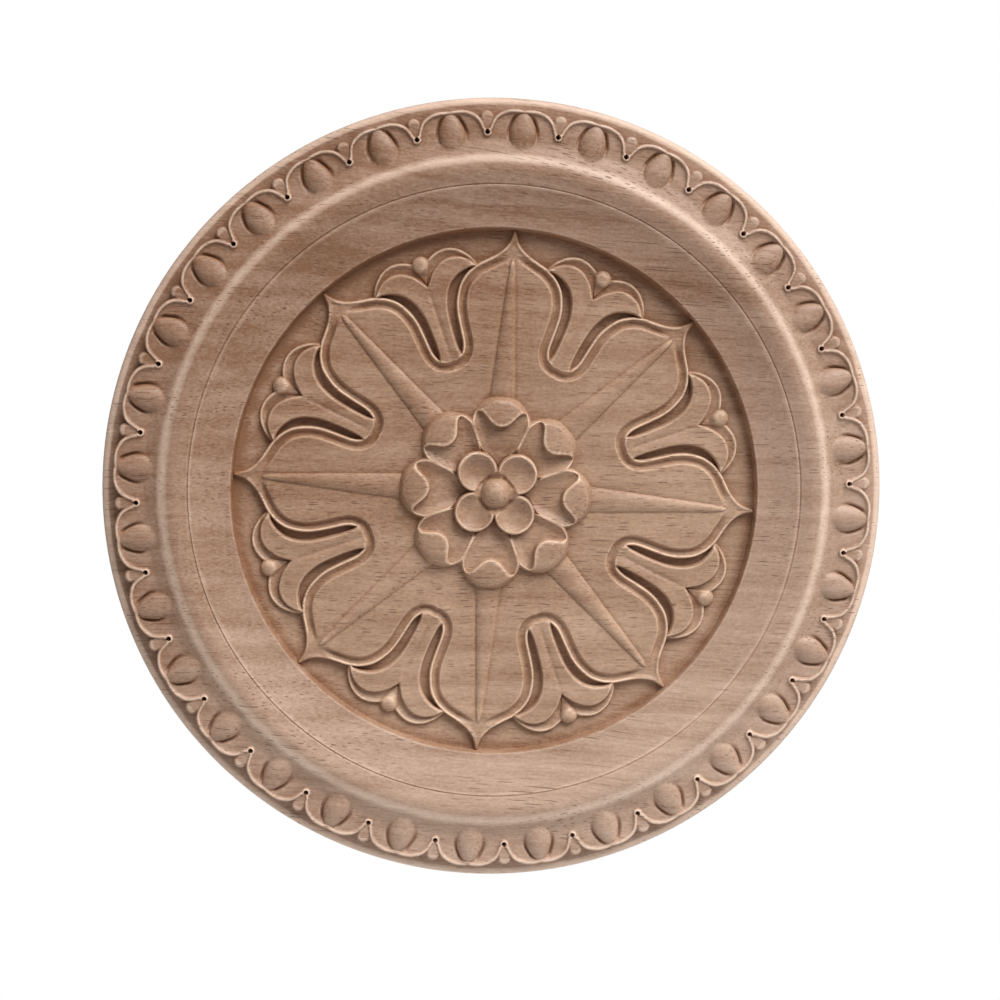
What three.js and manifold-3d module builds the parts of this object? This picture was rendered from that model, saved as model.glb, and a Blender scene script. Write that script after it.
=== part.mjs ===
// Round carved rosette: one disc of light hardwood, carved on its face and flat on its back, made to be
// fixed to a ceiling, a door or a piece of furniture. An egg band runs round a recess in which eight
// leaves, eight lilies and a double flower are cut.
//
// Frame: millimetres, +Z up. The back lies in the plane y = 0 and the carving faces -Y. The origin is
// the middle of the back, and one leaf points straight up.
import * as THREE from 'three';
import { mergeVertices } from 'three/addons/utils/BufferGeometryUtils.js';
import Module from 'manifold-3d';

// Disc and its plain flange
const DISC_DIAMETER = 300;
const FLANGE_WIDTH = 5.3;
const FLANGE_THICKNESS = 9;
const FLANGE_ROUNDING = 1.7;

// Mouldings of the ring, from the flange inward. Each width runs to the next moulding, and each rise
// is measured from the face of the flange.
const BAND_WIDTH = 16.2;
const BAND_LIP_RISE = 6.2;
const COVE_WIDTH = 1.4;
const COVE_RISE = 7.4;
const ARRIS_WIDTH = 3.5;
const ARRIS_RISE = 9.1;
const CREST_WIDTH = 6.6;
const CREST_RISE = 10;
const SLOPE_WIDTH = 16;
const SLOPE_TOP_RISE = 8.5;
const RECESS_EDGE_RISE = 4.9;

const BAND_RADIUS = DISC_DIAMETER / 2 - FLANGE_WIDTH;
const COVE_RADIUS = BAND_RADIUS - BAND_WIDTH;
const ARRIS_RADIUS = COVE_RADIUS - COVE_WIDTH;
const CREST_RADIUS = ARRIS_RADIUS - ARRIS_WIDTH;
const SLOPE_TOP_RADIUS = CREST_RADIUS - CREST_WIDTH;
const RECESS_RADIUS = SLOPE_TOP_RADIUS - SLOPE_WIDTH;
const BAND_LIP_HEIGHT = FLANGE_THICKNESS + BAND_LIP_RISE;
const CREST_HEIGHT = FLANGE_THICKNESS + CREST_RISE;

// Recess that holds the leaves, and the depth below its floor at which raised forms begin
const RECESS_DEPTH = 5.9;
const RECESS_DRAFT = 0.7;
const ROOT_DEPTH = 3;
const FLOOR_HEIGHT = FLANGE_THICKNESS + RECESS_EDGE_RISE - RECESS_DEPTH;
const ROOT_HEIGHT = FLOOR_HEIGHT - ROOT_DEPTH;

// Eggs and darts of the band
const EGG_COUNT = 32;
const EGG_MARGIN = 0.6;
const EGG_WIDTH = 10.6;
const EGG_RISE = 2.6;
const EGG_GROOVE_WIDTH = 0.8;
const EGG_GROOVE_DEPTH = 1.2;
const EGG_GROOVE_LENGTH = 11;
const DART_HOLE_INSET = 8.2;
const DART_HOLE_DIAMETER = 2.1;
const DART_GAP_WIDTH = 13.6;
const DART_WIDTH = 3.7;
const DART_RISE = 5;
const EGG_OUTER_RADIUS = BAND_RADIUS - EGG_MARGIN;
const DART_HOLE_RADIUS = BAND_RADIUS - DART_HOLE_INSET;

// Leaves. The carving in the recess is drawn in hundredths of the distance from the middle to a leaf's
// tip, and each rise in it is measured from the floor of the recess.
const LEAF_COUNT = 8;
const LEAF_TIP_GAP = 1.6;
const LEAF_TIP_RADIUS = RECESS_RADIUS - LEAF_TIP_GAP;
const UNIT = LEAF_TIP_RADIUS / 100;
const LEAF_SHOULDER_RADIUS = 88.9 * UNIT;
const LEAF_SHOULDER_HALF_WIDTH = 9.1 * UNIT;
const LEAF_WIDEST_RADIUS = 71.9 * UNIT;
const LEAF_HALF_WIDTH = 19.8 * UNIT;
const LEAF_NECK_RADIUS = 54.8 * UNIT;
const LEAF_NECK_HALF_WIDTH = 16.1 * UNIT;
const LEAF_VALLEY_RADIUS = 53.5 * UNIT;
const LEAF_BEAD_WIDTH = 1.5;
const LEAF_BEAD_RISE = 3.6;
const LEAF_GROOVE_WIDTH = 2.2;
const LEAF_GROOVE_RISE = 2.2;
const LEAF_FIELD_RISE = 4;
const RIB_END_RADIUS = 90.5 * UNIT;
const RIB_ROOT_WIDTH = 10 * UNIT;
const RIB_RISE = 5.5;

// Lilies between the leaves
const LILY_STEM_HALF_WIDTH = 3.9 * UNIT;
const LILY_STEM_RADIUS = 65.4 * UNIT;
const LILY_LOBE_RADIUS = 85.1 * UNIT;
const LILY_LOBE_HALF_WIDTH = 20.7 * UNIT;
const LILY_TOP_RADIUS = 91.5 * UNIT;
const LILY_NOTCH_RADIUS = 83.5 * UNIT;
const LILY_NOTCH_HALF_WIDTH = 0.4 * UNIT;
const LILY_RISE = 3.6;
const LILY_BACK_LAYER = 3.2 * UNIT;
const LILY_BACK_RISE = 2;
const BUD_RADIUS = 92 * UNIT;
const BUD_DIAMETER = 7.2 * UNIT;
const BUD_POINT_RADIUS = 84.1 * UNIT;
const BUD_RISE = 4.6;

// Large flower of curled petals, one over each leaf
const FLOWER_RADIUS = 37.4 * UNIT;
const FLOWER_NOTCH_RADIUS = 27 * UNIT;
const PETAL_HALF_WIDTH = 11 * UNIT;
const PETAL_CUSP_RADIUS = 26.1 * UNIT;
const PETAL_CREST_RADIUS = 30.9 * UNIT;
const PETAL_LIP_RISE = 7.8;
const PETAL_LIP_ROUNDING = 1.6;
const PETAL_TROUGH_RISE = 4.6;
const PETAL_RIM_WIDTH = 1.1;

// Small flower of cupped petals round a button
const SMALL_PETAL_COUNT = 4;
const SMALL_PETAL_RADIUS = 7.8 * UNIT;
const SMALL_PETAL_CENTRE_RADIUS = 10.8 * UNIT;
const SMALL_PETAL_RISE = 8.4;
const SMALL_PETAL_RIM = 1;
const SMALL_CUP_DEPTH = 2.4;
const BUTTON_DIAMETER = 11.5 * UNIT;
const BUTTON_RISE = 10.2;

// Facets round the disc, the distance at which corners are one point, and the nearest that the moved
// outline of a leaf comes to the leaf's own axis
const DISC_SEGMENTS = 64;
const MERGE_DISTANCE = 1e-4;
const AXIS_CLEARANCE = 0.05;

const WOOD_COLOUR = 0xc09a7c;

const wasm = await Module();
wasm.setup();

// A closed three.js geometry as a solid
function solid(geometry) {
  geometry.deleteAttribute('normal');
  geometry.deleteAttribute('uv');
  const merged = mergeVertices(geometry, MERGE_DISTANCE);
  return new wasm.Manifold(new wasm.Mesh({
    numProp: 3,
    vertProperties: new Float32Array(merged.attributes.position.array),
    triVerts: new Uint32Array(merged.index.array),
  }));
}

// The carving is worked out with the disc lying on its back: x to the right, y up, z off the back.
// Each bearing is measured clockwise from straight up.
function atBearing(geometry, bearing) {
  return geometry.clone().rotateZ(-bearing);
}

// A ring of equal solids, set evenly round the middle of the disc
function ringOf(geometry, count, firstBearing) {
  const copies = [];
  for (let i = 0; i < count; i += 1) {
    copies.push(solid(atBearing(geometry, firstBearing + (2 * Math.PI * i) / count)));
  }
  return wasm.Manifold.union(copies);
}

// A flat outline raised from one height to another, its edges taken off by rounding
function raised(points, bottom, top, rounding = 0) {
  const geometry = new THREE.ExtrudeGeometry(new THREE.Shape(points), {
    depth: top - bottom - 2 * rounding,
    bevelEnabled: rounding > 0,
    bevelThickness: rounding,
    bevelSize: rounding,
    bevelOffset: -rounding,
    bevelSegments: 1,
  });
  return geometry.translate(0, 0, bottom + rounding);
}

function curve(start, control1, control2, end, steps) {
  const bezier = new THREE.CubicBezierCurve(
    new THREE.Vector2(...start),
    new THREE.Vector2(...control1),
    new THREE.Vector2(...control2),
    new THREE.Vector2(...end),
  );
  return bezier.getPoints(steps);
}

// A chain of curves run together, the shared points kept once
function chain(...curves) {
  return curves.flatMap((points, i) => (i === 0 ? points : points.slice(1)));
}

function mirrored(points) {
  return points.map((p) => new THREE.Vector2(-p.x, p.y)).reverse();
}

function polar(radius, bearing) {
  return [radius * Math.sin(bearing), radius * Math.cos(bearing)];
}

function turned(points, bearing) {
  return points.map((p) => p.clone().rotateAround(new THREE.Vector2(0, 0), -bearing));
}

// Disc with the turned mouldings of the ring and the recess
function turnedBlank() {
  const outer = DISC_DIAMETER / 2;
  const profile = [
    [0, 0],
    [outer, 0],
    [outer, FLANGE_THICKNESS - FLANGE_ROUNDING],
    [outer - FLANGE_ROUNDING, FLANGE_THICKNESS],
    [BAND_RADIUS, FLANGE_THICKNESS],
    [BAND_RADIUS, BAND_LIP_HEIGHT],
    [COVE_RADIUS, FLANGE_THICKNESS + COVE_RISE],
    [ARRIS_RADIUS, FLANGE_THICKNESS + ARRIS_RISE],
    [CREST_RADIUS, CREST_HEIGHT],
    [SLOPE_TOP_RADIUS, FLANGE_THICKNESS + SLOPE_TOP_RISE],
    [RECESS_RADIUS, FLANGE_THICKNESS + RECESS_EDGE_RISE],
    [RECESS_RADIUS - RECESS_DRAFT, FLOOR_HEIGHT],
    [0, FLOOR_HEIGHT],
  ].map(([radius, height]) => new THREE.Vector2(radius, height));
  return new THREE.LatheGeometry(profile, DISC_SEGMENTS).rotateX(Math.PI / 2);
}

// Egg: a long rounded form lying across the band, its lower half in the wood
function egg() {
  const halfLength = (EGG_OUTER_RADIUS - COVE_RADIUS) / 2;
  const middle = BAND_LIP_HEIGHT - EGG_GROOVE_DEPTH;
  const geometry = new THREE.SphereGeometry(1, 6, 5);
  geometry.scale(EGG_WIDTH / 2, halfLength, EGG_RISE + EGG_GROOVE_DEPTH);
  return geometry.translate(0, EGG_OUTER_RADIUS - halfLength, middle);
}

// Groove that frees the outer part of an egg from the band
function eggGroove() {
  const halfWidth = EGG_WIDTH / 2 + EGG_GROOVE_WIDTH;
  const halfLength = EGG_GROOVE_LENGTH / 2;
  const oval = new THREE.EllipseCurve(0, EGG_OUTER_RADIUS - halfLength, halfWidth, halfLength);
  return raised(oval.getPoints(6).slice(1), BAND_LIP_HEIGHT - EGG_GROOVE_DEPTH, CREST_HEIGHT);
}

// Gap between two scallops of the band, narrow at its drilled inner end and open at the flange
function dartGap() {
  const hole = DART_HOLE_DIAMETER / 2;
  const open = DART_GAP_WIDTH / 2;
  const depth = BAND_RADIUS - DART_HOLE_RADIUS;
  const side = curve(
    [open, BAND_RADIUS + 0.1 * depth],
    [open * 0.42, BAND_RADIUS - 0.2 * depth],
    [hole, BAND_RADIUS - 0.4 * depth],
    [hole, DART_HOLE_RADIUS - hole],
    2,
  );
  return raised([...side, ...mirrored(side)], FLANGE_THICKNESS, CREST_HEIGHT);
}

// Dart: a drop lying in the gap, its round end outward
function dart() {
  const round = DART_WIDTH / 2;
  const end = BAND_RADIUS - round;
  const side = [[0, BAND_RADIUS], [round, end], [0, DART_HOLE_RADIUS + DART_HOLE_DIAMETER]];
  const points = [...side, [-round, end]].map((p) => new THREE.Vector2(...p));
  return raised(points, ROOT_HEIGHT, FLANGE_THICKNESS + DART_RISE);
}

// Half of a leaf's outline on the crest of its bead, from the tip to the bottom of the valley between
// two leaves, moved inward by inset
function leafSide(inset) {
  const half = Math.PI / LEAF_COUNT;
  const valley = polar(LEAF_VALLEY_RADIUS, half);
  const valleyPull = 0.16 * LEAF_NECK_HALF_WIDTH;
  const shoulder = [LEAF_SHOULDER_HALF_WIDTH, LEAF_SHOULDER_RADIUS];
  const widest = [LEAF_HALF_WIDTH, LEAF_WIDEST_RADIUS];
  const neck = [LEAF_NECK_HALF_WIDTH, LEAF_NECK_RADIUS];
  const points = chain(
    curve(
      [0, LEAF_TIP_RADIUS],
      [0.14 * shoulder[0], LEAF_TIP_RADIUS - 0.55 * (LEAF_TIP_RADIUS - shoulder[1])],
      [0.5 * shoulder[0], shoulder[1] + 0.22 * (LEAF_TIP_RADIUS - shoulder[1])],
      shoulder,
      2,
    ),
    curve(
      shoulder,
      [shoulder[0] + 0.5 * (widest[0] - shoulder[0]), shoulder[1] - 0.14 * (shoulder[1] - widest[1])],
      [widest[0], widest[1] + 0.45 * (shoulder[1] - widest[1])],
      widest,
      3,
    ),
    curve(
      widest,
      [widest[0], widest[1] - 0.4 * (widest[1] - neck[1])],
      [neck[0], neck[1] + 0.35 * (widest[1] - neck[1])],
      neck,
      2,
    ),
    curve(
      neck,
      [neck[0], neck[1] - 0.18 * (LEAF_VALLEY_RADIUS - FLOWER_RADIUS)],
      [valley[0] - valleyPull * Math.cos(half), valley[1] + valleyPull * Math.sin(half)],
      valley,
      3,
    ),
  );
  const last = points.length - 1;
  const moved = points.map((p, i) => {
    const after = points[Math.min(i + 1, last)];
    const before = points[Math.max(i - 1, 0)];
    const across = new THREE.Vector2(after.y - before.y, before.x - after.x).normalize();
    const inward = i === last ? new THREE.Vector2(...polar(-1, half)) : across;
    return p.clone().addScaledVector(inward, inset);
  });
  return moved.filter((p) => p.x > AXIS_CLEARANCE);
}

// The eight leaves as one star
function leafStar(inset) {
  const side = leafSide(inset);
  const tip = new THREE.Vector2(0, inset > 0 ? side[0].y : LEAF_TIP_RADIUS);
  const whole = [...mirrored(side.slice(0, -1)), tip, ...side];
  const points = [];
  for (let i = 0; i < LEAF_COUNT; i += 1) {
    points.push(...turned(whole, (2 * Math.PI * i) / LEAF_COUNT));
  }
  return points;
}

function rib() {
  const halfWidth = RIB_ROOT_WIDTH / 2;
  const geometry = new THREE.ConeGeometry(halfWidth, RIB_END_RADIUS - FLOWER_NOTCH_RADIUS, 6);
  geometry.scale(1, 1, (RIB_RISE - LEAF_FIELD_RISE) / halfWidth);
  const middle = (RIB_END_RADIUS + FLOWER_NOTCH_RADIUS) / 2;
  return geometry.translate(0, middle, FLOOR_HEIGHT + LEAF_FIELD_RISE);
}

function leaves(body) {
  const bead = LEAF_BEAD_WIDTH / 2;
  const outside = raised(leafStar(-bead), ROOT_HEIGHT, FLOOR_HEIGHT + LEAF_BEAD_RISE);
  const groove = raised(leafStar(bead), FLOOR_HEIGHT + LEAF_GROOVE_RISE, CREST_HEIGHT);
  const inner = leafStar(bead + LEAF_GROOVE_WIDTH);
  const field = raised(inner, ROOT_HEIGHT, FLOOR_HEIGHT + LEAF_FIELD_RISE);
  const star = body.add(solid(outside)).subtract(solid(groove)).add(solid(field));
  return star.add(ringOf(rib(), LEAF_COUNT, 0));
}

// Trumpet of a lily with its two lobes curling outward, drawn as seen from in front
function lilyFace() {
  const stem = [LILY_STEM_HALF_WIDTH, LILY_STEM_RADIUS];
  const lobe = [LILY_LOBE_HALF_WIDTH, LILY_LOBE_RADIUS];
  const notch = [LILY_NOTCH_HALF_WIDTH, LILY_NOTCH_RADIUS];
  const side = chain(
    [new THREE.Vector2(LILY_STEM_HALF_WIDTH, LEAF_VALLEY_RADIUS), new THREE.Vector2(...stem)],
    curve(stem, [1.08 * stem[0], stem[1] + 0.56 * (lobe[1] - stem[1])], [0.4 * lobe[0], lobe[1]], lobe, 3),
    curve(lobe, [0.82 * lobe[0], LILY_TOP_RADIUS], [0.4 * lobe[0], LILY_TOP_RADIUS + 3 * UNIT], notch, 3),
  );
  return [...side, ...mirrored(side)];
}

// Second row of lobes, standing behind the first
function lilyBack() {
  const lobe = [LILY_LOBE_HALF_WIDTH, LILY_LOBE_RADIUS];
  const top = LILY_TOP_RADIUS + LILY_BACK_LAYER;
  const low = new THREE.Vector2(0.8 * lobe[0], lobe[1]);
  const start = [0.98 * lobe[0], lobe[1] + LILY_BACK_LAYER / 2];
  const end = [0.14 * lobe[0], LILY_TOP_RADIUS];
  const side = [low, ...curve(start, [0.84 * lobe[0], top], [0.36 * lobe[0], top + 3 * UNIT], end, 3)];
  return [...side, ...mirrored(side)];
}

function bud() {
  const round = BUD_DIAMETER / 2;
  const profile = [
    [0, BUD_POINT_RADIUS],
    [round, BUD_RADIUS],
    [round * 0.7, BUD_RADIUS + round * 0.7],
    [0, BUD_RADIUS + round],
  ];
  const geometry = new THREE.LatheGeometry(profile.map((p) => new THREE.Vector2(...p)), 6);
  return geometry.translate(0, 0, FLOOR_HEIGHT + BUD_RISE - round);
}

function lilies(body) {
  const half = Math.PI / LEAF_COUNT;
  const back = raised(lilyBack(), ROOT_HEIGHT, FLOOR_HEIGHT + LILY_BACK_RISE);
  const face = raised(lilyFace(), ROOT_HEIGHT, FLOOR_HEIGHT + LILY_RISE);
  const layers = body.add(ringOf(back, LEAF_COUNT, half)).add(ringOf(face, LEAF_COUNT, half));
  return layers.add(ringOf(bud(), LEAF_COUNT, half));
}

// Large flower: one scalloped pad, then a trough sunk into each petal behind its curled lip
function petalSide() {
  const notch = polar(FLOWER_NOTCH_RADIUS, Math.PI / LEAF_COUNT);
  const beside = [1.17 * PETAL_HALF_WIDTH, (FLOWER_RADIUS + notch[1]) / 2];
  return curve([0, FLOWER_RADIUS], [0.68 * PETAL_HALF_WIDTH, FLOWER_RADIUS], beside, notch, 3);
}

function petalTrough() {
  const half = Math.PI / LEAF_COUNT;
  const across = [Math.cos(half), -Math.sin(half)];
  const rim = PETAL_RIM_WIDTH / 2;
  const onRim = (radius) => polar(radius, half).map((value, i) => value - across[i] * rim);
  const wide = PETAL_HALF_WIDTH;
  const rimEnd = onRim(FLOWER_NOTCH_RADIUS);
  const crest = [0.72 * wide, PETAL_CREST_RADIUS];
  const cusp = [0, PETAL_CUSP_RADIUS];
  const side = chain(
    [new THREE.Vector2(...onRim(SMALL_PETAL_RADIUS)), new THREE.Vector2(...rimEnd)],
    curve(rimEnd, [0.95 * wide, PETAL_CREST_RADIUS - UNIT], [0.86 * wide, PETAL_CREST_RADIUS], crest, 2),
    curve(crest, [0.5 * wide, PETAL_CREST_RADIUS], [0.35 * wide, PETAL_CUSP_RADIUS], cusp, 3),
  );
  return [...side, ...mirrored(side.slice(0, -1))];
}

function largeFlower(body) {
  const side = petalSide();
  const petal = [...mirrored(side.slice(1)), ...side.slice(0, -1)];
  const points = [];
  for (let i = 0; i < LEAF_COUNT; i += 1) {
    points.push(...turned(petal, (2 * Math.PI * i) / LEAF_COUNT));
  }
  const pad = raised(points, ROOT_HEIGHT, FLOOR_HEIGHT + PETAL_LIP_RISE, PETAL_LIP_ROUNDING);
  const trough = raised(petalTrough(), FLOOR_HEIGHT + PETAL_TROUGH_RISE, CREST_HEIGHT);
  return body.add(solid(pad)).subtract(ringOf(trough, LEAF_COUNT, 0));
}

// Small flower: four round cups and a button
function smallFlower(body) {
  const firstBearing = Math.PI / SMALL_PETAL_COUNT;
  const height = ROOT_DEPTH + SMALL_PETAL_RISE;
  const cup = new THREE.CylinderGeometry(SMALL_PETAL_RADIUS, SMALL_PETAL_RADIUS, height, 12);
  cup.rotateX(Math.PI / 2);
  cup.translate(0, SMALL_PETAL_CENTRE_RADIUS, ROOT_HEIGHT + height / 2);
  const hollow = new THREE.SphereGeometry(1, 8, 4);
  hollow.rotateX(Math.PI / 2);
  const inside = SMALL_PETAL_RADIUS - SMALL_PETAL_RIM;
  hollow.scale(inside, inside, SMALL_CUP_DEPTH);
  hollow.translate(0, SMALL_PETAL_CENTRE_RADIUS, ROOT_HEIGHT + height);
  const button = new THREE.SphereGeometry(BUTTON_DIAMETER / 2, 8, 8);
  button.rotateX(Math.PI / 2);
  button.translate(0, 0, FLOOR_HEIGHT + BUTTON_RISE - BUTTON_DIAMETER / 2);
  const cups = body.add(ringOf(cup, SMALL_PETAL_COUNT, firstBearing));
  return cups.subtract(ringOf(hollow, SMALL_PETAL_COUNT, firstBearing)).add(solid(button));
}

function eggBand(body) {
  const halfPitch = Math.PI / EGG_COUNT;
  const scallops = body.subtract(ringOf(dartGap(), EGG_COUNT, halfPitch));
  const darts = scallops.add(ringOf(dart(), EGG_COUNT, halfPitch));
  return darts.subtract(ringOf(eggGroove(), EGG_COUNT, 0)).add(ringOf(egg(), EGG_COUNT, 0));
}

function carvedRosette() {
  let body = solid(turnedBlank());
  body = eggBand(body);
  body = leaves(body);
  body = lilies(body);
  body = largeFlower(body);
  body = smallFlower(body);
  const mesh = body.getMesh();
  const geometry = new THREE.BufferGeometry();
  geometry.setAttribute('position', new THREE.BufferAttribute(mesh.vertProperties, 3));
  geometry.setIndex(new THREE.BufferAttribute(mesh.triVerts, 1));
  geometry.rotateX(Math.PI / 2);
  geometry.computeVertexNormals();
  return geometry;
}

const wood = new THREE.MeshStandardMaterial({ color: WOOD_COLOUR, roughness: 0.62, metalness: 0 });
const rosette = new THREE.Mesh(carvedRosette(), wood);
rosette.name = 'rosette';

const part = new THREE.Group();
part.add(rosette);
export default part;
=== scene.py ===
"""A round rosette carved by a router in glued-up rubberwood, sanded and left bare.

The carving is worked out as a height over the flat back, in mm, over one eighth of the face.
Its sizes are read against r, the distance from the axis, and bearing, the angle from a leaf's midline.
"""
import math
import bpy
import mathutils
import numpy as np
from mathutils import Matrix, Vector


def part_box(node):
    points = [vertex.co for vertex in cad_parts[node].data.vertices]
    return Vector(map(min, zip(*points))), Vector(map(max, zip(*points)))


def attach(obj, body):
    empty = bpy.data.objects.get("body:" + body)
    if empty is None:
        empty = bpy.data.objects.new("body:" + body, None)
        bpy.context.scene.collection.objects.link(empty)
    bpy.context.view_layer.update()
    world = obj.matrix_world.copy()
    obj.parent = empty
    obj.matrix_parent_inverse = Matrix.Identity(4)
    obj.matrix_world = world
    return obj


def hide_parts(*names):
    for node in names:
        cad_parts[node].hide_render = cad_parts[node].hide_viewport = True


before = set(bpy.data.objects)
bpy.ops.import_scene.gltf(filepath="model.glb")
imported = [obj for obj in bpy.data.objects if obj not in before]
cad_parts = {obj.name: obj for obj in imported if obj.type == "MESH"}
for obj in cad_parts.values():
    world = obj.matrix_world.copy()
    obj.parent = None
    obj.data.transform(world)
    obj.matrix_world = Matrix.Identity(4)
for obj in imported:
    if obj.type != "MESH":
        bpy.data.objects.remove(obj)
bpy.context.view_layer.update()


# The blank: a disc of rubberwood, 300 mm across and 19 mm thick, glued up from strips and sawn round.
# One eighth of its face is laid out as a fan of fine steps, from a leaf's midline to the next one's.
# The router leaves every form below in it, so the whole carving stays one piece.
MM = 0.001
low_corner, high_corner = (np.array(c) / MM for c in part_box("rosette"))
rim_radius = (high_corner[0] - low_corner[0]) / 2
crest_height = high_corner[1] - low_corner[1]
EIGHTH = math.pi / 4
STEPS_AROUND = 640
PATTERN_FIT = 0.996

step_ends = np.array([0.0, 38.0, 99.6, 101.4, 115.9, 117.1, 126.2, 128.0, 145.6, 147.6, rim_radius])
step_sizes = [0.22, 0.25, 0.09, 0.6, 0.1, 0.6, 0.2, 0.2, 0.5, 0.2]
radii = [np.arange(a, b - size / 3, size) for a, b, size in zip(step_ends[:-1], step_ends[1:], step_sizes)]
radii = np.concatenate(radii + [[rim_radius]])

bpy.ops.object.select_all(action="DESELECT")
bpy.ops.mesh.primitive_grid_add(x_subdivisions=len(radii) - 1, y_subdivisions=STEPS_AROUND, size=1.0)
rosette = bpy.context.object
rosette.name = "carved_rosette"
flat = np.empty(len(rosette.data.vertices) * 3)
rosette.data.vertices.foreach_get("co", flat)
flat = flat.reshape(-1, 3)
radius = np.interp(flat[:, 0] + 0.5, np.linspace(0.0, 1.0, len(radii)), radii)
r = radius / PATTERN_FIT
bearing = (flat[:, 1] + 0.5) * EIGHTH
from_leaf = np.minimum(bearing, EIGHTH - bearing)
from_lily = EIGHTH / 2 - from_leaf


def ease(low, high, x):
    """0 below low, 1 above high, and a smooth rise between."""
    t = np.clip((x - low) / (high - low), 0.0, 1.0)
    return t * t * (3.0 - 2.0 * t)


def join(a, b, soft):
    """The higher of two heights, with the corner between them filled by the cutter's radius."""
    t = np.clip(0.5 + 0.5 * (a - b) / soft, 0.0, 1.0)
    return b + (a - b) * t + soft * t * (1.0 - t)


def line(points, steps=5):
    """A smooth line through the points, as a cutter follows them."""
    p = np.array(points, float)
    p = np.vstack([2 * p[0] - p[1], p, 2 * p[-1] - p[-2]])
    t = np.arange(steps)[:, None] / steps
    out = []
    for a, b, c, d in zip(p[:-3], p[1:-2], p[2:-1], p[3:]):
        out.append(b + 0.5 * t * (c - a + t * (2 * a - 5 * b + 4 * c - d + t * (3 * (b - c) + d - a))))
    return np.vstack(out + [p[-2:-1]])


def profile(x, points, steps=4):
    """A section: heights against x along a smooth line through the points."""
    section = line(points, steps)
    return np.interp(x, section[:, 0], section[:, 1])


def inside_of(x, y, edge, closing):
    """Distance of each point to an edge, positive inside the outline that the closing points complete."""
    near = np.full(x.shape, 1e9)
    for (ax, ay), (bx, by) in zip(edge[:-1], edge[1:]):
        ex, ey = bx - ax, by - ay
        t = np.clip(((x - ax) * ex + (y - ay) * ey) / (ex * ex + ey * ey + 1e-12), 0.0, 1.0)
        near = np.minimum(near, (x - ax - t * ex) ** 2 + (y - ay - t * ey) ** 2)
    whole = np.vstack([edge, closing])
    inside = np.zeros(x.shape, bool)
    for (ax, ay), (bx, by) in zip(whole, np.roll(whole, -1, axis=0)):
        if ay != by:
            inside ^= ((ay > y) != (by > y)) & (x < (bx - ax) * (y - ay) / (by - ay) + ax)
    return np.where(inside, 1.0, -1.0) * np.sqrt(near)


# The frame: a broad moulding routed round the blank, rising from the recess to a crest 19 mm over the back.
# A fine line is scored where its slope turns, and a cove drops from the crest to the band of eggs.
# The flange outside it is what is left of the blank's edge, 9 mm thick with its front corner sanded round.
RECESS_RADIUS = 101.0
SCORED_LINE = 117.0
BAND_START, BAND_END = 127.9, 146.6
FLANGE_THICKNESS, FLANGE_ROUND = 9.0, 2.5

moulding = profile(r, [(100, 13.2), (100.9, 13.6), (101.4, 13.9), (102.4, 14.05), (105, 14.5), (109, 15.45),
                       (113, 16.55), (116.3, 17.6), (117, 17.75), (119, 18.25), (121.3, 18.85),
                       (123.2, crest_height), (124.8, 18.8), (126.2, 18.35), (127.4, 17.8), (128.6, 17.2),
                       (130, 16.65), (132, 16.2), (134.5, 15.8), (140, 15.4), (147, 15.2)], 8)
moulding -= 0.4 * np.exp(-((r - SCORED_LINE) / 0.24) ** 2)
past_corner = np.clip(radius - (rim_radius - FLANGE_ROUND), 0.0, FLANGE_ROUND)
flange = FLANGE_THICKNESS - FLANGE_ROUND + np.sqrt(FLANGE_ROUND ** 2 - past_corner ** 2)


# The band of eggs: 32 domes, each behind a scalloped lip, with a small dart in every gap between two lips.
# A drill leaves the round hole at each dart's tail, and the gaps are routed down to the flange.
# Only the moulding's outer band is cut, so the eggs stay part of the wood.
EGG_PITCH = 2 * math.pi / 32
egg_bearing = np.abs((bearing + EGG_PITCH / 2) % EGG_PITCH - EGG_PITCH / 2)
u, v = r * np.sin(egg_bearing), r * np.cos(egg_bearing)
gap_u, gap_v = r * np.sin(EGG_PITCH / 2 - egg_bearing), r * np.cos(EGG_PITCH / 2 - egg_bearing)

lip_line = line([(0, 145), (1.6, 145.25), (3.8, 145.3), (6.6, 144.75), (9.2, 143.5), (11.1, 141.7),
                 (12.25, 139.4), (12.75, 137.6)], 4)
in_lip = inside_of(u, v, lip_line, [(13.1, 136.9), (16, 136), (16, 120), (-1, 120), (-1, 145)])
HOLE_RADIUS, HOLE_PLACE = 1.0, 136.6
hole = np.hypot(gap_u, gap_v - HOLE_PLACE) - HOLE_RADIUS
in_rim = np.minimum(in_lip, hole + 0.7)
field = moulding - 0.95 * ease(0.9, 1.8, in_rim) * ease(128.5, 134.0, v)

EGG_CENTRE, EGG_HALF_WIDTH = 135.7, 5.0
egg_half = EGG_HALF_WIDTH * (1.0 - 0.18 * ease(136.0, 144.0, v))
off_centre = np.hypot(u / egg_half, (v - EGG_CENTRE) / np.where(v > EGG_CENTRE, 9.0, 6.2))
beside_egg = (off_centre - 1.0) * 5.0
groove_ends = ease(132.5, 140.5, v) * ease(144.2, 141.2, v)
field -= 2.0 * groove_ends * np.exp(-(np.clip(beside_egg - 0.45, 0.0, None) / 0.7) ** 2)
egg_fall = (9.0 - 6.0 * ease(137.0, 130.5, v)) * np.clip(off_centre - 1.0, 0.0, None)
egg_top = 2.55 * np.sqrt(np.clip(1.0 - off_centre ** 2, 0.0, None))
egg_dome = 13.95 + 0.8 * (moulding - 15.4) + egg_top - egg_fall
field = join(field, egg_dome, 0.3 + 0.9 * ease(137.5, 130.0, v))
rim_top = field - 0.4 * (1.0 - ease(0.0, 0.5, in_rim))
band = FLANGE_THICKNESS + (rim_top - FLANGE_THICKNESS) * ease(-0.75, 0.0, np.minimum(in_lip, hole))

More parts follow.
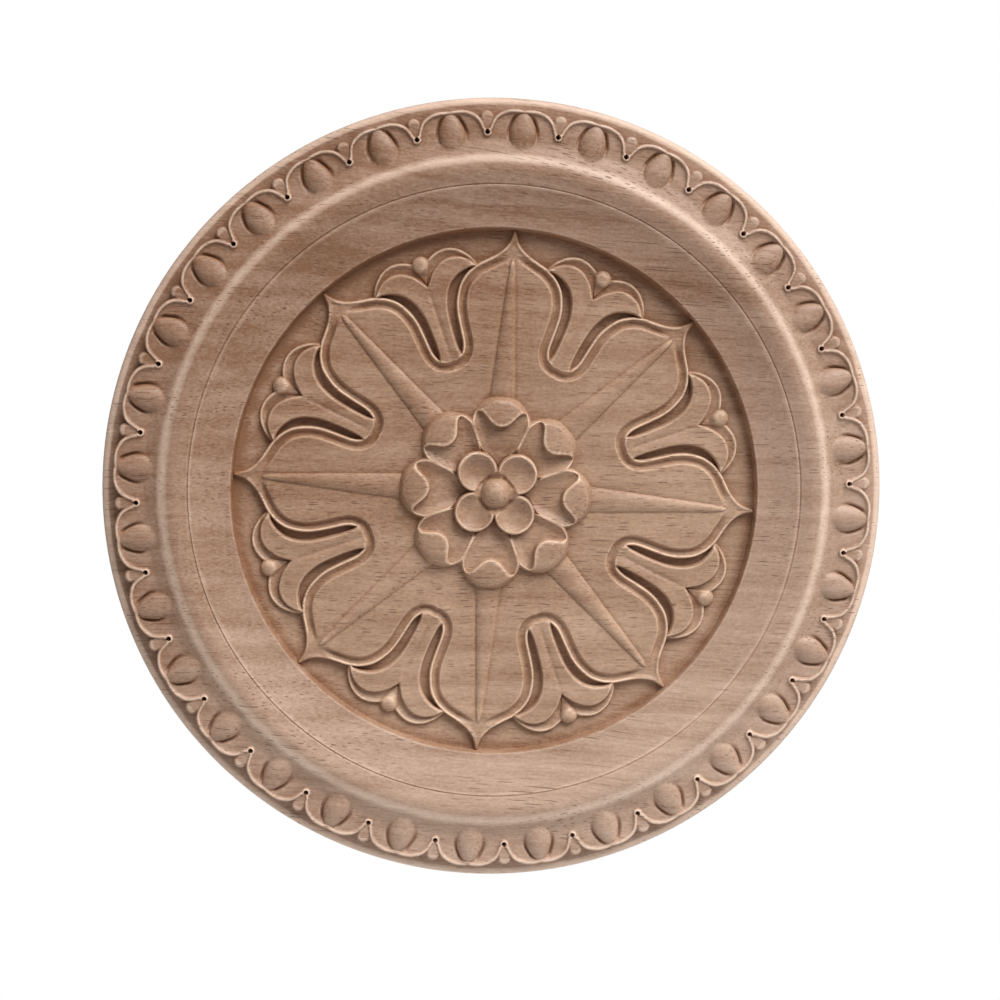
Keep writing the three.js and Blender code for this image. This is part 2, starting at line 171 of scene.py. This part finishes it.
DART_END, DART_RADIUS, DART_HEIGHT = 142.3, 2.6, 14.8
in_dart = DART_RADIUS - np.where(gap_v > DART_END, np.hypot(gap_u, gap_v - DART_END), gap_u)
dart = DART_HEIGHT - 0.8 * ease(1.2, 0.0, in_dart) ** 2
dart = FLANGE_THICKNESS + (dart - FLANGE_THICKNESS) * ease(-0.5, 0.05, in_dart)
is_dart = (in_dart > -0.5) & (in_lip < 0.0) & (gap_v > HOLE_PLACE) & (hole > 0.0)
band = np.where(is_dart, np.maximum(band, dart), band)

face = np.where(r > BAND_START, band, moulding)
face = np.where(r > BAND_END, np.minimum(face, flange), face)


# The recess: a floor routed about 6 mm below the frame's inner edge, its wall as steep as the bit allows.
# It is nearly flat, and rises by 1.3 mm towards the foot of the wall.
FLOOR_HEIGHT = 8.0
floor = FLOOR_HEIGHT + 1.3 * ease(86.0, 100.5, r)


# The lilies: eight of them hang from the frame between the leaves, each a trumpet with two curled lobes.
# A second, lower row of lobes and a pointed bud show behind each trumpet.
s, t = r * np.sin(from_lily), r * np.cos(from_lily)
trumpet_top = [(0, 82.9), (1, 84.4), (3.6, 87.6), (7.4, 90.2), (11.5, 91), (15.4, 89.9), (18.4, 87.6),
               (20.9, 84.3)]
trumpet_side = [(20.9, 84.3), (17.3, 84.9), (13.4, 84.1), (9.8, 82), (7.1, 78.7), (5.5, 74.9), (4.6, 71),
                (4.05, 65.3), (3.85, 59.5), (4.2, 55.5), (6, 52)]
trumpet = np.vstack([line(trumpet_top, 4), line(trumpet_side, 4)[1:]])
in_trumpet = inside_of(s, t, trumpet, [(6, 40), (-1, 40), (-1, 82.9)])
trumpet_face = profile(in_trumpet, [(-0.45, 7), (-0.35, 8.2), (-0.15, 9.8), (0.05, 10.9), (0.35, 11.55),
                                    (0.8, 11.8), (1.5, 11.8), (2.5, 11.7), (4, 11.62), (6, 11.6),
                                    (10, 11.6), (20, 11.6)])
trumpet_face -= 0.35 * np.exp(-(s / 0.9) ** 2) * ease(83.5, 78.0, t) * ease(53.0, 58.0, t)
trumpet_face += 0.25 * ease(70.0, 54.0, t)
trumpet_face = np.where(in_trumpet < -0.44, 0.0, trumpet_face)

low_row = line([(0, 91.6), (1.6, 91.8), (4.2, 93.3), (7.7, 94.6), (11.5, 94.7), (15.4, 93), (18.3, 90.2),
                (20.2, 87), (21, 84.5)], 4)
in_low_row = inside_of(s, t, low_row, [(17.5, 86.3), (10, 85), (-1, 84), (-1, 91.6)])
low_face = profile(in_low_row, [(-0.4, 7), (-0.25, 8.2), (-0.05, 9.7), (0.2, 10.4), (0.6, 10.6),
                                (1.1, 10.4), (1.8, 9.9), (2.6, 9.6), (4, 9.5), (8, 9.5), (20, 9.5)])
low_face = np.where((in_low_row < -0.4) | (t < 83.0), 0.0, low_face)

BUD_CENTRE, BUD_RADIUS, BUD_POINT = 91.3, 3.55, 83.3
bud_half = np.maximum(BUD_RADIUS * np.clip((t - BUD_POINT) / 8.0, 0.0, 1.0) ** 1.1, 1e-6)
bud_share = np.where(t > BUD_CENTRE, np.hypot(s, t - BUD_CENTRE) / BUD_RADIUS, s / bud_half)
bud = 9.7 + 2.4 * (0.15 + 0.85 * ease(86.5, 90.3, t)) * np.clip(1.0 - bud_share ** 2, 0.0, None) ** 0.6
bud = np.where(bud_share < 1.0, bud, 0.0)
inner = join(np.maximum(np.maximum(floor, low_face), trumpet_face), bud, 0.25)


# The leaves: eight pointed leaves grown together into a star, standing 4 mm over the floor.
# Each has a rounded bead along its edge, a groove inside it, a smooth field and a tapered midrib.
u, v = r * np.sin(from_leaf), r * np.cos(from_leaf)
leaf_edge = line([(0, 100.2), (0.45, 98), (1.25, 95.6), (3, 93.2), (5.6, 90.8), (9.4, 88.4), (13.2, 86.1),
                  (16.6, 82.8), (18.9, 78.6), (19.8, 73.2), (19.5, 68.6), (18.5, 64.4), (17.3, 60.4),
                  (16.3, 56.8), (16.1, 53.8), (17, 51.2), (18.8, 49.6), (20.4, 49.15), (22, 48.9)], 5)
in_leaf = inside_of(u, v, leaf_edge, [(60, 20), (0, -5), (-3, 0), (-3, 100.2)])
star = profile(in_leaf, [(-1.05, 7), (-0.9, 8.3), (-0.72, 9.8), (-0.5, 10.9), (-0.25, 11.45), (0, 11.6),
                         (0.35, 11.45), (0.8, 10.75), (1.4, 10.2), (2.1, 10.05), (2.7, 10.5), (3.1, 11.3),
                         (3.45, 11.85), (3.9, 12.05), (4.6, 12.05), (5.6, 11.98), (7, 11.9), (9, 11.86),
                         (12, 11.85), (20, 11.85), (40, 11.85)])
tip = 11.65 - 0.4 * ease(0.2, 1.5, in_leaf)
star += (tip - star) * ease(86.8, 90.5, v) * (in_leaf > 0.0)
star = np.where(in_leaf < -1.0, 0.0, star) - 0.6 * ease(52.0, 36.0, r)

RIB_FOOT, RIB_END = 36.5, 89.6
rib_half = (5.0 - 0.075 * (r - RIB_FOOT)) * np.sqrt(np.clip((RIB_END - r) / 1.6, 0.0, 1.0))
rib_height = np.interp(r, [30, 40, 60, 75, 86, RIB_END], [1.5, 1.4, 1.15, 0.95, 0.75, 0.45])
rib_share = np.clip(u / np.maximum(rib_half, 0.05), 0.0, 1.0)
rib = rib_height * np.clip(1.0 - rib_share ** 2, 0.0, 1.0) ** 0.8 * (r < RIB_END)
past_rib = u - rib_half
rib -= 0.18 * ease(90.5, 87.0, r) * np.exp(-(past_rib / np.where(past_rib > 0.0, 0.8, 0.35)) ** 2)
star += np.where(in_leaf > 0.4, rib, 0.0)
inner = np.where(in_leaf > -1.0, np.maximum(np.where(in_leaf > 0.0, 0.0, inner), star), inner)


# The large flower: eight petals over the leaves' feet, each a round pad rising to a curled lip.
# A hollow is scooped from every petal up to a waved edge, and thin walls stand between two hollows.
pad_edge = line([(0, 37.4), (3.1, 37.1), (5.8, 36), (8.2, 34.1), (10, 31.9), (11.1, 30), (11.85, 28.4),
                 (13, 27)], 4)
in_pad = inside_of(u, v, pad_edge, [(13, 0), (-1, 0), (-1, 37.4)])
wave = line([(0, 25.7), (1.9, 26.1), (3.7, 27.3), (5.5, 29.2), (7.2, 30.8), (8.9, 31.4), (10.1, 30.4),
             (10.8, 28.6), (10.7, 26.6), (9.65, 23.9), (7.4, 18.4), (3.4, 9)], 6)
in_hollow = inside_of(u, v, wave, [(0, 0), (-1, 0), (-1, 25.9)])
pad_rise = profile(in_pad, [(-0.35, 8), (-0.2, 9.6), (0, 11), (0.4, 12.4), (1, 13.8), (2, 15.3),
                            (3.3, 16.4), (5, 17), (9, 17), (30, 17)])
pad_dome = 12.3 + 4.2 * np.sqrt(np.clip(1.0 - np.hypot(u / 13.0, (v - 26.8) / 12.2) ** 2, 0.0, None))
pad = -join(-pad_rise, -pad_dome, 1.0)
beside_wall = np.abs(r * np.sin(EIGHTH / 2 - from_leaf))
side_wall = 14.4 - 0.5 * ease(26.0, 17.0, r)
at_side = ease(29.5, 26.0, v + 0.2 * u) * ease(5.5, 8.5, u)
pad = pad * (1.0 - at_side) + np.minimum(pad, side_wall) * at_side
hollow_side = 1.5 * ease(4.2, 0.0, beside_wall) ** 1.4
hollow = 11.9 + 1.0 * ease(16.0, 27.0, v) + hollow_side - 0.6 * ease(21.0, 15.0, r)
hollow_share = ease(-0.1, 0.8, in_hollow)
pad = pad * (1.0 - hollow_share) + np.minimum(pad, hollow) * hollow_share
inner = np.where(in_pad > -0.33, np.maximum(inner - 8.0 * ease(0.2, 1.2, in_pad), pad), inner)


# The small flower: four cups round a button, each on the line of every second leaf.
# They are the highest forms inside the frame, and the button's dome is as high as the frame's slope.
from_cup = EIGHTH - bearing
u, v = r * np.sin(from_cup), r * np.cos(from_cup)
CUP_PLACE, CUP_RADIUS = 10.8, 7.9
beside_cup = r * np.sin(EIGHTH - from_cup)
in_cup = np.minimum(CUP_RADIUS - np.hypot(u, v - CUP_PLACE), beside_cup + 0.7)
cup = profile(in_cup, [(-0.25, 7), (-0.15, 9), (-0.05, 12), (0.1, 14.4), (0.4, 15.7), (0.8, 16.1),
                       (1.2, 16.0), (1.8, 15.55), (2.7, 14.9), (3.8, 14.3), (5.2, 13.85), (6.5, 13.65),
                       (9, 13.6)])
open_side = ease(9.8, 6.5, r) * ease(1.2, 3.2, beside_cup)
cup = np.minimum(cup, 16.3 - 2.0 * ease(9.2, 6.2, r) - 0.8 * open_side) - 0.5 * open_side
inner = np.where(in_cup > -0.25, np.maximum(inner - 8.0 * ease(15.5, 14.0, r), cup), inner)
between_cups = 15.85 - 2.0 * ease(9.2, 5.9, r) - 1.5 * ease(8.4, 9.6, r)
between = (r < 9.6) & (np.hypot(u, v - CUP_PLACE) > CUP_RADIUS - 0.9)
inner = np.where(between, np.maximum(inner, between_cups), inner)
BUTTON_RADIUS, BUTTON_FOOT = 6.0, 12.4
button = BUTTON_FOOT + np.sqrt(np.clip(BUTTON_RADIUS ** 2 - r ** 2, 0.0, None))
inner = np.maximum(inner, np.where(r < BUTTON_RADIUS, button, 0.0))

WALL_FOOT = 100.15
wall = ease(WALL_FOOT, RECESS_RADIUS, r)
foot_height, edge_height = 9.3, np.interp(RECESS_RADIUS, r[:len(radii)], moulding[:len(radii)])
face = np.where(r < RECESS_RADIUS, foot_height + (edge_height - foot_height) * wall, face)
face = np.where(r < WALL_FOOT, inner, face)


# The whole face: the eighth is thinned to what its forms need, mirrored over a leaf and turned four times.
# The rim is drawn back to the flat back and closed, which gives the sawn edge and the plain hidden side.
TRIANGLES_IN_EIGHTH = 23600
WELD, SEAM_REACH, MIRROR_WELD = 0.01 * MM, 0.3 * MM, 0.002 * MM

heights = face.reshape(STEPS_AROUND + 1, len(radii))


def height_at(at_radius, at_bearing):
    """The face's height at any place, from the eighth and its mirror images."""
    folded = np.abs(at_bearing) % (2 * EIGHTH)
    step = np.round(np.minimum(folded, 2 * EIGHTH - folded) / EIGHTH * STEPS_AROUND).astype(int)
    ring = np.round(np.interp(np.abs(at_radius), radii, np.arange(len(radii)))).astype(int)
    return heights[step, ring]


def standing_over(at_radius, at_bearing, reach):
    """How far a place stands over the eight places round it: high on an arris and low in a groove."""
    turns = [k * math.pi / 4 for k in range(8)]
    arc = reach / np.maximum(at_radius, reach)
    nearby = [height_at(at_radius + reach * math.cos(a), at_bearing + arc * math.sin(a)) for a in turns]
    here, most = height_at(at_radius, at_bearing), 0.8 * reach
    return sum(np.clip(here - there, -most, most) for there in nearby) / len(nearby)


cut_face = np.column_stack([radius * np.sin(bearing), -face, radius * np.cos(bearing)]) * MM
rosette.data.vertices.foreach_set("co", cut_face.ravel())
rosette.data.update()
bpy.ops.object.mode_set(mode="EDIT")
bpy.ops.mesh.select_all(action="SELECT")
bpy.ops.mesh.remove_doubles(threshold=WELD)
bpy.ops.mesh.quads_convert_to_tris()
bpy.ops.object.mode_set(mode="OBJECT")
thin = rosette.modifiers.new("thin", "DECIMATE")
thin.ratio = TRIANGLES_IN_EIGHTH / len(rosette.data.polygons)
bpy.ops.object.modifier_apply(modifier="thin")

mesh = rosette.data
count = np.zeros(len(mesh.edges), int)
loop_edges = np.empty(len(mesh.loops), int)
mesh.loops.foreach_get("edge_index", loop_edges)
np.add.at(count, loop_edges, 1)
edge_ends = np.empty(len(mesh.edges) * 2, int)
mesh.edges.foreach_get("vertices", edge_ends)
border = np.unique(edge_ends.reshape(-1, 2)[count == 1])
place = np.empty(len(mesh.vertices) * 3)
mesh.vertices.foreach_get("co", place)
place = place.reshape(-1, 3)
across_second = (place[:, 0] - place[:, 2]) / 2
far = np.hypot(place[:, 0], place[:, 2])
for i in border:
    if far[i] > (rim_radius - 0.05) * MM:
        place[i] *= (rim_radius * MM / far[i], 1.0, rim_radius * MM / far[i])
        place[i, 1] = -(FLANGE_THICKNESS - FLANGE_ROUND) * MM
    if abs(place[i, 0]) < SEAM_REACH:
        place[i, 0] = 0.0
    elif abs(across_second[i]) < SEAM_REACH:
        place[i, 0] = place[i, 2] = (place[i, 0] + place[i, 2]) / 2
mesh.vertices.foreach_set("co", place.ravel())
mesh.update()
place_radius = np.hypot(place[:, 0], place[:, 2]) / MM
place_bearing = np.arctan2(place[:, 0], place[:, 2])

# Lighter on the arrises, the crest, beside the scored line and on the outer flange, and darker in the
# hollows and at the foot of the recess wall.
# On the arrises and the crest this is partly sanding wear and partly painted highlight. Beside the scored
# line it is painted highlight, and the dark places are painted shade. How far each point stands out, with
# these, is kept on the mesh, and the wood's tone below is taken from it.
NEAR_REACH, WIDE_REACH = 1.0, 2.4
CREST_SHEEN, SCORED_SHEEN, WALL_SHADE, CUPS = 126.3, 116.6, 99.2, 11.6
# Arrises are made lighter, partly sanding wear and partly painted highlight. Narrow grooves are made darker
# as painted shade.
wear_and_painted_light = 0.8 * standing_over(place_radius, place_bearing, NEAR_REACH)
# Broad hollows are made darker: painted shade.
wear_and_painted_light += 0.3 * np.minimum(standing_over(place_radius, place_bearing, WIDE_REACH), 0.0)
# The crest is made lighter, partly sanding wear and partly painted highlight. Beside the scored line it is
# painted highlight.
wear_and_painted_light += 0.30 * np.exp(-((place_radius - CREST_SHEEN) / 2.6) ** 2)
wear_and_painted_light += 0.17 * np.exp(-((place_radius - SCORED_SHEEN) / 2.2) ** 2)
# The outer flange is made lighter.
wear_and_painted_light += 0.32 * ease(143.5, 147.5, place_radius)
place_height = -place[:, 1] / MM
# In the flower, the higher parts get painted light and the cups get painted shade.
on_cups = np.abs(place_radius - CUPS) < 5.5
flower_painted_light = np.where(on_cups, -0.08, 0.12 * ease(12.0, 17.5, place_height))
wear_and_painted_light += flower_painted_light * (place_radius < 40.0)
# The buds are made lighter: painted light laid over their own shading.
beside_bud = np.hypot((place_bearing - EIGHTH / 2) * place_radius, place_radius - BUD_CENTRE)
wear_and_painted_light += 0.1 * ease(3.8, 3.0, beside_bud)
# Painted shade at the foot of the recess wall.
wear_and_painted_light -= 0.85 * np.exp(-((place_radius - WALL_SHADE) / 2.4) ** 2) * (place_radius < RECESS_RADIUS - 0.15)
wear_and_painted_light = np.clip(wear_and_painted_light, -1.0, 1.0)
mesh.attributes.new("wear_and_painted_light", "FLOAT", "POINT").data.foreach_set("value", wear_and_painted_light)

half = rosette.modifiers.new("half", "MIRROR")
half.merge_threshold = MIRROR_WELD
bpy.ops.object.modifier_apply(modifier="half")
quarter = rosette
quarters = [quarter]
for turn in range(1, 4):
    bpy.ops.object.select_all(action="DESELECT")
    quarter.select_set(True)
    bpy.context.view_layer.objects.active = quarter
    bpy.ops.object.duplicate()
    bpy.ops.object.mode_set(mode="EDIT")
    bpy.ops.mesh.select_all(action="SELECT")
    bpy.ops.transform.rotate(value=turn * math.pi / 2, orient_axis="Y", orient_type="GLOBAL",
                             center_override=(0.0, 0.0, 0.0))
    bpy.ops.object.mode_set(mode="OBJECT")
    quarters.append(bpy.context.object)
for piece in quarters:
    piece.select_set(True)
bpy.context.view_layer.objects.active = rosette
bpy.ops.object.join()
bpy.ops.object.mode_set(mode="EDIT")
bpy.ops.mesh.select_all(action="SELECT")
bpy.ops.mesh.remove_doubles(threshold=WELD)
bpy.ops.mesh.select_all(action="DESELECT")
bpy.ops.mesh.select_mode(type="EDGE")
bpy.ops.mesh.select_non_manifold(extend=False, use_wire=False, use_boundary=True, use_multi_face=False,
                                 use_non_contiguous=False, use_verts=False)
back_step = (0.0, (FLANGE_THICKNESS - FLANGE_ROUND) * MM, 0.0)
bpy.ops.mesh.extrude_region_move(TRANSFORM_OT_translate={"value": back_step})
bpy.ops.mesh.edge_face_add()
bpy.ops.mesh.select_all(action="SELECT")
bpy.ops.mesh.normals_make_consistent(inside=False)
bpy.ops.object.mode_set(mode="OBJECT")
bpy.ops.object.shade_smooth_by_angle(angle=math.radians(38))
even = rosette.modifiers.new("even", "WEIGHTED_NORMAL")
even.keep_sharp = True
bpy.ops.object.modifier_apply(modifier="even")

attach(rosette, "root")
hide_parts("rosette")


# The wood: bare rubberwood strips, 65 mm wide, glued side by side with the grain nearly level.
# Each strip has its own tone and slant of grain. Vessels run along it as fine tubes, so a flat face cuts
# them into short dark streaks and a slope into dots, and fibres and pores roughen the sanded surface.
GRAIN_TURN = math.radians(4.3)
wood = bpy.data.materials.new("bare_rubberwood")
wood.use_nodes = True
nodes, links = wood.node_tree.nodes, wood.node_tree.links
shader = nodes["Principled BSDF"]


def feed(socket, value):
    """A socket's value: another node's output, or a plain number or colour."""
    if isinstance(value, bpy.types.NodeSocket):
        links.new(value, socket)
    else:
        socket.default_value = value


def maths(operation, *values):
    """A maths node over numbers or sockets."""
    step = nodes.new("ShaderNodeMath")
    step.operation = operation
    for socket, value in zip(step.inputs, values):
        feed(socket, value)
    return step.outputs[0]


def joined(x, y, z):
    """A vector of three numbers or sockets."""
    step = nodes.new("ShaderNodeCombineXYZ")
    for socket, value in zip(step.inputs, (x, y, z)):
        feed(socket, value)
    return step.outputs[0]


def noise(place, scale, detail=2.0, rough=0.5):
    """A noise value between 0 and 1, its scale in cycles for each mm."""
    step = nodes.new("ShaderNodeTexNoise")
    for name, value in (("Vector", place), ("Scale", scale), ("Detail", detail), ("Roughness", rough)):
        feed(step.inputs[name], value)
    return step.outputs["Fac"]


def ranged(value, low, high, to_low, to_high):
    """A value taken from one range to another, clamped."""
    step = nodes.new("ShaderNodeMapRange")
    for socket, number in zip(step.inputs, (value, low, high, to_low, to_high)):
        feed(socket, number)
    return step.outputs["Result"]


def mixed(share, a, b, blend="MIX"):
    """One colour over another."""
    step = nodes.new("ShaderNodeMix")
    step.data_type = "RGBA"
    step.blend_type = blend
    for name, value in (("Factor_Float", share), ("A_Color", a), ("B_Color", b)):
        feed(next(i for i in step.inputs if i.identifier == name), value)
    return next(o for o in step.outputs if o.identifier == "Result_Color")


def stepped(value, stops):
    """A grey value that changes in steps at places from 0 to 1."""
    ramp = nodes.new("ShaderNodeValToRGB")
    ramp.color_ramp.interpolation = "CONSTANT"
    links.new(value, ramp.inputs["Fac"])
    while len(ramp.color_ramp.elements) < len(stops):
        ramp.color_ramp.elements.new(1.0)
    for element, (place, grey) in zip(ramp.color_ramp.elements, stops):
        element.position = place
        element.color = (grey, grey, grey, 1.0)
    return ramp.outputs["Color"]


# Along, deep and across are in mm in the wood: along the grain, into the face and over the strips.
along_grain = nodes.new("ShaderNodeMapping")
along_grain.inputs["Scale"].default_value = (1 / MM, 1 / MM, 1 / MM)
along_grain.inputs["Rotation"].default_value = (0.0, GRAIN_TURN, 0.0)
links.new(nodes.new("ShaderNodeTexCoord").outputs["Object"], along_grain.inputs["Vector"])
parts = nodes.new("ShaderNodeSeparateXYZ")
links.new(along_grain.outputs["Vector"], parts.inputs[0])
along_mm, deep_mm, across_mm = parts.outputs
strip_place = ranged(across_mm, -151.4, 173.6, 0.0, 1.0)
strip_tone = stepped(strip_place, [(0.0, 0.36), (0.2, 0.33), (0.4, 0.32), (0.6, 0.29), (0.8, 0.33)])
strip_slant = stepped(strip_place, [(0.0, 0.09), (0.2, 0.02), (0.4, 0.0), (0.6, 0.08), (0.8, 0.17)])
sway = noise(joined(maths("MULTIPLY", along_mm, 0.4), deep_mm, maths("ADD", across_mm, strip_tone)),
             0.03, 1.0)
lean = maths("ADD", maths("MULTIPLY", strip_slant, along_mm), maths("MULTIPLY", sway, 5.0))
across = maths("ADD", maths("ADD", across_mm, lean), maths("MULTIPLY", strip_tone, 900.0))
dive = maths("ADD", maths("MULTIPLY", along_mm, 0.115), maths("MULTIPLY", sway, 4.0))
deep = maths("ADD", deep_mm, dive)

VESSEL_SPACING = 1.0
vessels = nodes.new("ShaderNodeTexVoronoi")
vessels.voronoi_dimensions = "2D"
feed(vessels.inputs["Scale"], 1.0 / VESSEL_SPACING)
feed(vessels.inputs["Vector"], joined(deep, across, 0.0))
vessel_kind = nodes.new("ShaderNodeSeparateXYZ")
links.new(vessels.outputs["Color"], vessel_kind.inputs[0])
vessel_radius = ranged(vessel_kind.outputs[0], 0.15, 1.0, 0.0, 0.27)
pore = maths("SUBTRACT", vessel_radius, vessels.outputs["Distance"])
pore = ranged(pore, -0.03, 0.05, 0.0, 1.0)
crowd = noise(joined(maths("MULTIPLY", along_mm, 0.3), deep_mm, across), 0.06, 3.0)
crowd = ranged(crowd, 0.36, 0.62, 0.1, 1.0)
pore = maths("MULTIPLY", pore, crowd)

fibre = noise(joined(maths("MULTIPLY", along_mm, 0.09), deep, across), 1.3, 3.0, 0.6)
bands = noise(joined(maths("MULTIPLY", along_mm, 0.05), maths("MULTIPLY", deep, 0.6), across),
              0.16, 3.0, 0.55)
patch = noise(joined(along_mm, deep_mm, across_mm), 0.02, 2.0)
sanding = noise(joined(maths("MULTIPLY", along_mm, 0.6), deep_mm, across), 1.2, 3.0, 0.6)
# The tone grows lighter towards the lower right of the face.
lighter = maths("ADD", maths("MULTIPLY", along_mm, 0.0016), maths("MULTIPLY", across_mm, -0.0019))
tone = maths("ADD", maths("MULTIPLY", maths("SUBTRACT", fibre, 0.5), 0.75),
             maths("MULTIPLY", maths("SUBTRACT", bands, 0.5), 1.15))
tone = maths("ADD", maths("ADD", tone, lighter), maths("MULTIPLY", maths("SUBTRACT", patch, 0.5), 0.5))
tone = maths("ADD", maths("MULTIPLY", tone, 0.62), strip_tone)
# The mesh's tone mask: lighter parts are partly sanding wear and partly painted highlight, and darker parts
# are painted shade.
wear_and_light_attribute = nodes.new("ShaderNodeAttribute")
wear_and_light_attribute.attribute_name = "wear_and_painted_light"
wear_and_highlight = ranged(wear_and_light_attribute.outputs["Fac"], 0.14, 0.37, 0.0, 0.68)
# Painted shade in the hollows, the cups and at the foot of the recess wall.
painted_hollow_shade = ranged(wear_and_light_attribute.outputs["Fac"], -0.05, -1.0, 0.0, 0.26)
tone = maths("SUBTRACT", maths("ADD", tone, wear_and_highlight), painted_hollow_shade)
tone = maths("ADD", tone, maths("MULTIPLY", maths("SUBTRACT", sanding, 0.5), 0.55))
colour = mixed(ranged(tone, 0.0, 1.2, 0.0, 1.0), (0.28, 0.135, 0.07, 1.0), (0.92, 0.68, 0.53, 1.0))
from_axis = nodes.new("ShaderNodeVectorMath")
from_axis.operation = "LENGTH"
links.new(joined(along_mm, 0.0, across_mm), from_axis.inputs[0])
# Inside the recess the colour is tinted a little warmer and darker.
recess_tint = ranged(from_axis.outputs["Value"], RECESS_RADIUS - 1.0, RECESS_RADIUS, 1.0, 0.0)
colour = mixed(recess_tint, colour, mixed(1.0, colour, (1.0, 0.96, 0.885, 1.0), "MULTIPLY"))
colour = mixed(maths("MULTIPLY", pore, 0.64), colour, (0.13, 0.05, 0.023, 1.0))
feed(shader.inputs["Base Color"], colour)
dullness = maths("ADD", fibre, maths("MULTIPLY", pore, 0.6))
feed(shader.inputs["Roughness"], ranged(dullness, 0.3, 1.2, 0.46, 0.72))

relief = maths("ADD", maths("MULTIPLY", fibre, 0.7), maths("MULTIPLY", sanding, 0.35))
relief = maths("SUBTRACT", relief, maths("MULTIPLY", pore, 0.6))
bump = nodes.new("ShaderNodeBump")
feed(bump.inputs["Strength"], 0.55)
feed(bump.inputs["Distance"], 0.16 * MM)
feed(bump.inputs["Height"], relief)
links.new(bump.outputs["Normal"], shader.inputs["Normal"])
rosette.data.materials.append(wood)


# The studio: a white world, a plain pale floor well below the rosette, and one soft key light from above.
studio = bpy.data.worlds.new("studio")
studio.use_nodes = True
bpy.context.scene.world = studio
sky_nodes, sky_links = studio.node_tree.nodes, studio.node_tree.links
FILL_STRENGTH = 0.26
fill = sky_nodes["Background"]
fill.inputs["Strength"].default_value = FILL_STRENGTH
white = sky_nodes.new("ShaderNodeBackground")
white.inputs["Color"].default_value = (1.0, 1.0, 1.0, 1.0)
fill.inputs["Color"].default_value = (1.0, 1.0, 1.0, 1.0)
ray = sky_nodes.new("ShaderNodeLightPath")
seen = sky_nodes.new("ShaderNodeMixShader")
sky_links.new(ray.outputs["Is Camera Ray"], seen.inputs["Fac"])
sky_links.new(fill.outputs["Background"], seen.inputs[1])
sky_links.new(white.outputs["Background"], seen.inputs[2])
sky_links.new(seen.outputs["Shader"], sky_nodes["World Output"].inputs["Surface"])

bpy.ops.object.select_all(action="DESELECT")
bpy.ops.mesh.primitive_circle_add(vertices=96, radius=1.0, fill_type="NGON", location=(0.0, 0.0, -0.75))
floor_disc = bpy.context.object
floor_disc.name = "studio_floor"
pale = bpy.data.materials.new("pale_floor")
pale.use_nodes = True
pale.node_tree.nodes["Principled BSDF"].inputs["Base Color"].default_value = (0.85, 0.85, 0.84, 1.0)
pale.node_tree.nodes["Principled BSDF"].inputs["Roughness"].default_value = 0.8
floor_disc.data.materials.append(pale)

KEY_BEARING, KEY_OFF_AXIS, KEY_DISTANCE = math.radians(22), math.radians(60), 5.0
KEY_SIZE, KEY_WATTS = 4.0, 306.0
key_out = KEY_DISTANCE * math.sin(KEY_OFF_AXIS)
key_place = (key_out * math.sin(KEY_BEARING), -KEY_DISTANCE * math.cos(KEY_OFF_AXIS),
             key_out * math.cos(KEY_BEARING))
bpy.ops.object.light_add(type="AREA", location=key_place)
key = bpy.context.object
key.name = "key_light"
key.data.shape = "DISK"
key.data.size = KEY_SIZE
key.data.energy = KEY_WATTS
key.rotation_euler = mathutils.Vector(key_place).to_track_quat("Z", "Y").to_euler()


# The camera: in front of the disc, a little above and left of its axis, turned with the photo.
VIEW_TILT, VIEW_DISTANCE = 0.085, 0.660
VIEW_RIGHT, VIEW_UP = -0.544, 0.839
ROLL = math.radians(4.3)
SENSOR_MM, LENS_TO_SENSOR = 36.0, 1.717
side = VIEW_RIGHT * math.cos(ROLL) - VIEW_UP * math.sin(ROLL)
up = VIEW_RIGHT * math.sin(ROLL) + VIEW_UP * math.cos(ROLL)
toward = mathutils.Vector((math.sin(VIEW_TILT) * side, -math.cos(VIEW_TILT), math.sin(VIEW_TILT) * up))
target = mathutils.Vector((0.0, -FLANGE_THICKNESS * MM, 0.0))
picture_up = mathutils.Vector((-math.sin(ROLL), 0.0, math.cos(ROLL)))
picture_right = picture_up.cross(toward).normalized()
picture_up = toward.cross(picture_right)
turned = mathutils.Matrix((picture_right, picture_up, toward)).transposed()
bpy.ops.object.camera_add(location=target + toward * VIEW_DISTANCE)
camera = bpy.context.object
camera.rotation_euler = turned.to_euler()
camera.data.lens = SENSOR_MM * LENS_TO_SENSOR
camera.data.shift_x = 0.0048
camera.data.shift_y = -0.0077
bpy.context.scene.camera = camera
bpy.context.scene.view_settings.view_transform = "Standard"
